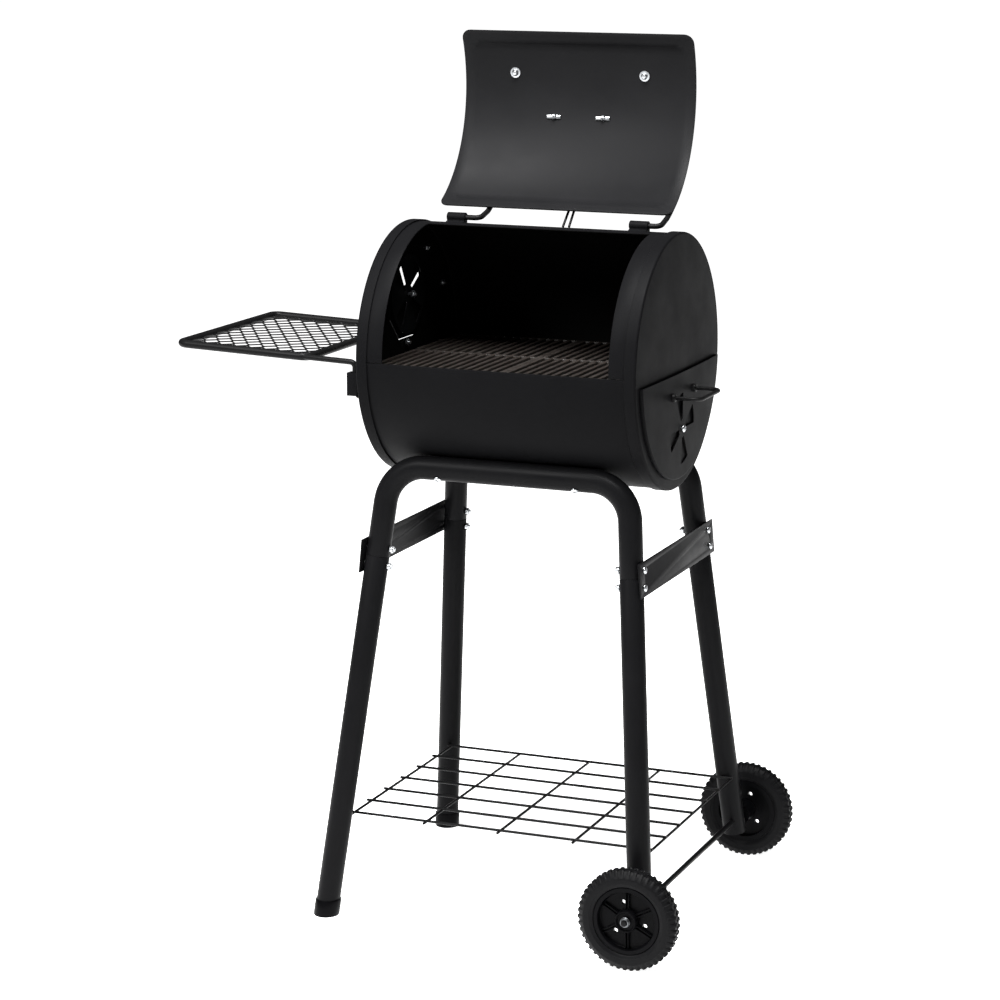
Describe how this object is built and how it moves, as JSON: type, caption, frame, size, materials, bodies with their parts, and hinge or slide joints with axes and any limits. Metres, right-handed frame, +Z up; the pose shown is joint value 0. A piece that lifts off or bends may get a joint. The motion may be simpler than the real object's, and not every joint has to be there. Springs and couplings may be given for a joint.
{
  "type": "barrel charcoal grill",
  "caption": "Horizontal barrel charcoal grill with hinged lid, slide-out ash drawer, side shelf and a tube stand with wheels and a wire shelf.",
  "frame": {"origin": "on the floor, under the middle of the whole length from the side shelf to the wheels and midway between the wheels", "axes": "+X along the barrel towards the ash drawer, +Y to the rear, +Z up"},
  "size_m": [0.8373, 0.5982, 1.2852],
  "materials": {
    "black_paint": "satin black heat-resistant paint on steel sheet and tube",
    "cast_iron": "seasoned brown-black cast iron",
    "black_plastic": "moulded black plastic with a low sheen",
    "zinc_steel": "bright zinc-plated steel"
  },
  "bodies": {
    "stand": {"body_shell": "black_paint", "bottom_wire_shelf": "black_paint", "front_axle_nut": "zinc_steel", "front_foot_cap": "black_plastic", "front_grate_ledge": "black_paint", "front_left_leg": "black_paint", "front_left_lower_bolt": "zinc_steel", "front_left_saddle_bolt": "zinc_steel", "front_left_upper_bolt": "zinc_steel", "front_leg_frame": "black_paint", "front_right_leg": "black_paint", "front_right_lower_bolt": "zinc_steel", "front_right_saddle_bolt": "zinc_steel", "front_right_upper_bolt": "zinc_steel", "front_shelf_bracket": "black_paint", "left_damper_bolt": "zinc_steel", "left_end_cap": "black_paint", "left_hinge_sleeve": "black_paint", "left_leg_brace": "black_paint", "left_mouth_strip": "black_paint", "lid_stop_wire": "black_paint", "rear_axle_nut": "zinc_steel", "rear_foot_cap": "black_plastic", "rear_grate_ledge": "black_paint", "rear_left_leg": "black_paint", "rear_left_lower_bolt": "zinc_steel", "rear_left_saddle_bolt": "zinc_steel", "rear_left_upper_bolt": "zinc_steel", "rear_leg_frame": "black_paint", "rear_right_leg": "black_paint", "rear_right_lower_bolt": "zinc_steel", "rear_right_saddle_bolt": "zinc_steel", "rear_right_upper_bolt": "zinc_steel", "rear_shelf_bracket": "black_paint", "right_end_cap": "black_paint", "right_hinge_sleeve": "black_paint", "right_leg_brace": "black_paint", "right_mouth_strip": "black_paint", "wheel_axle": "zinc_steel"},
    "ash_drawer": {"drawer_front": "black_paint", "ash_tray": "black_paint", "drawer_pull": "black_paint", "drawer_damper_bolt": "zinc_steel"},
    "drawer_damper": {"drawer_damper_disc": "black_paint"},
    "fire_grate": {"fire_grate": "cast_iron"},
    "left_damper": {"left_damper_disc": "black_paint"},
    "lid": {"lid_shell": "black_paint", "lid_handle": "black_plastic", "lid_badge_plate": "black_paint", "left_hinge_rod": "black_paint", "right_hinge_rod": "black_paint"},
    "left_grate": {"left_cooking_grate": "cast_iron"},
    "right_grate": {"right_cooking_grate": "cast_iron"},
    "front_wheel": {"front_tyre": "black_plastic", "front_wheel_hub": "black_plastic"},
    "rear_wheel": {"rear_tyre": "black_plastic", "rear_wheel_hub": "black_plastic"},
    "side_shelf": {"side_shelf_frame": "black_paint", "side_shelf_mesh": "black_paint"}
  },
  "joints": [
    {"name": "lid_hinge", "type": "hinge", "parent": "stand", "child": "lid", "pos_m": [0.10033, 0.02249, 1.01648], "axis": [1, 0, 0], "range_deg": [0, 156.8]},
    {"name": "drawer_slide", "type": "slide", "parent": "stand", "child": "ash_drawer", "axis": [1, 0, 0], "range_m": [0, 0.34]},
    {"name": "drawer_damper_turn", "type": "hinge", "parent": "ash_drawer", "child": "drawer_damper", "pos_m": [0.31403, 0, 0.7277], "axis": [1, 0, 0], "range_deg": [-30, 3]},
    {"name": "left_damper_turn", "type": "hinge", "parent": "stand", "child": "left_damper", "pos_m": [-0.11337, 0, 0.901], "axis": [1, 0, 0], "range_deg": [-30, 3]},
    {"name": "fire_grate_lift", "type": "slide", "parent": "ash_drawer", "child": "fire_grate", "axis": [0, 0, 1], "range_m": [0, 0.04]},
    {"name": "left_grate_lift", "type": "slide", "parent": "stand", "child": "left_grate", "axis": [0, 0, 1], "range_m": [0, 0.035]},
    {"name": "right_grate_lift", "type": "slide", "parent": "stand", "child": "right_grate", "axis": [0, 0, 1], "range_m": [0, 0.035]},
    {"name": "front_wheel_spin", "type": "hinge", "parent": "stand", "child": "front_wheel", "pos_m": [0.34467, -0.27631, 0.074], "axis": [0, 1, 0], "continuous": true},
    {"name": "rear_wheel_spin", "type": "hinge", "parent": "stand", "child": "rear_wheel", "pos_m": [0.34467, 0.27631, 0.074], "axis": [0, 1, 0], "continuous": true},
    {"name": "side_shelf_lift", "type": "slide", "parent": "stand", "child": "side_shelf", "axis": [0, 0, 1], "range_m": [0, 0.06]}
  ]
}
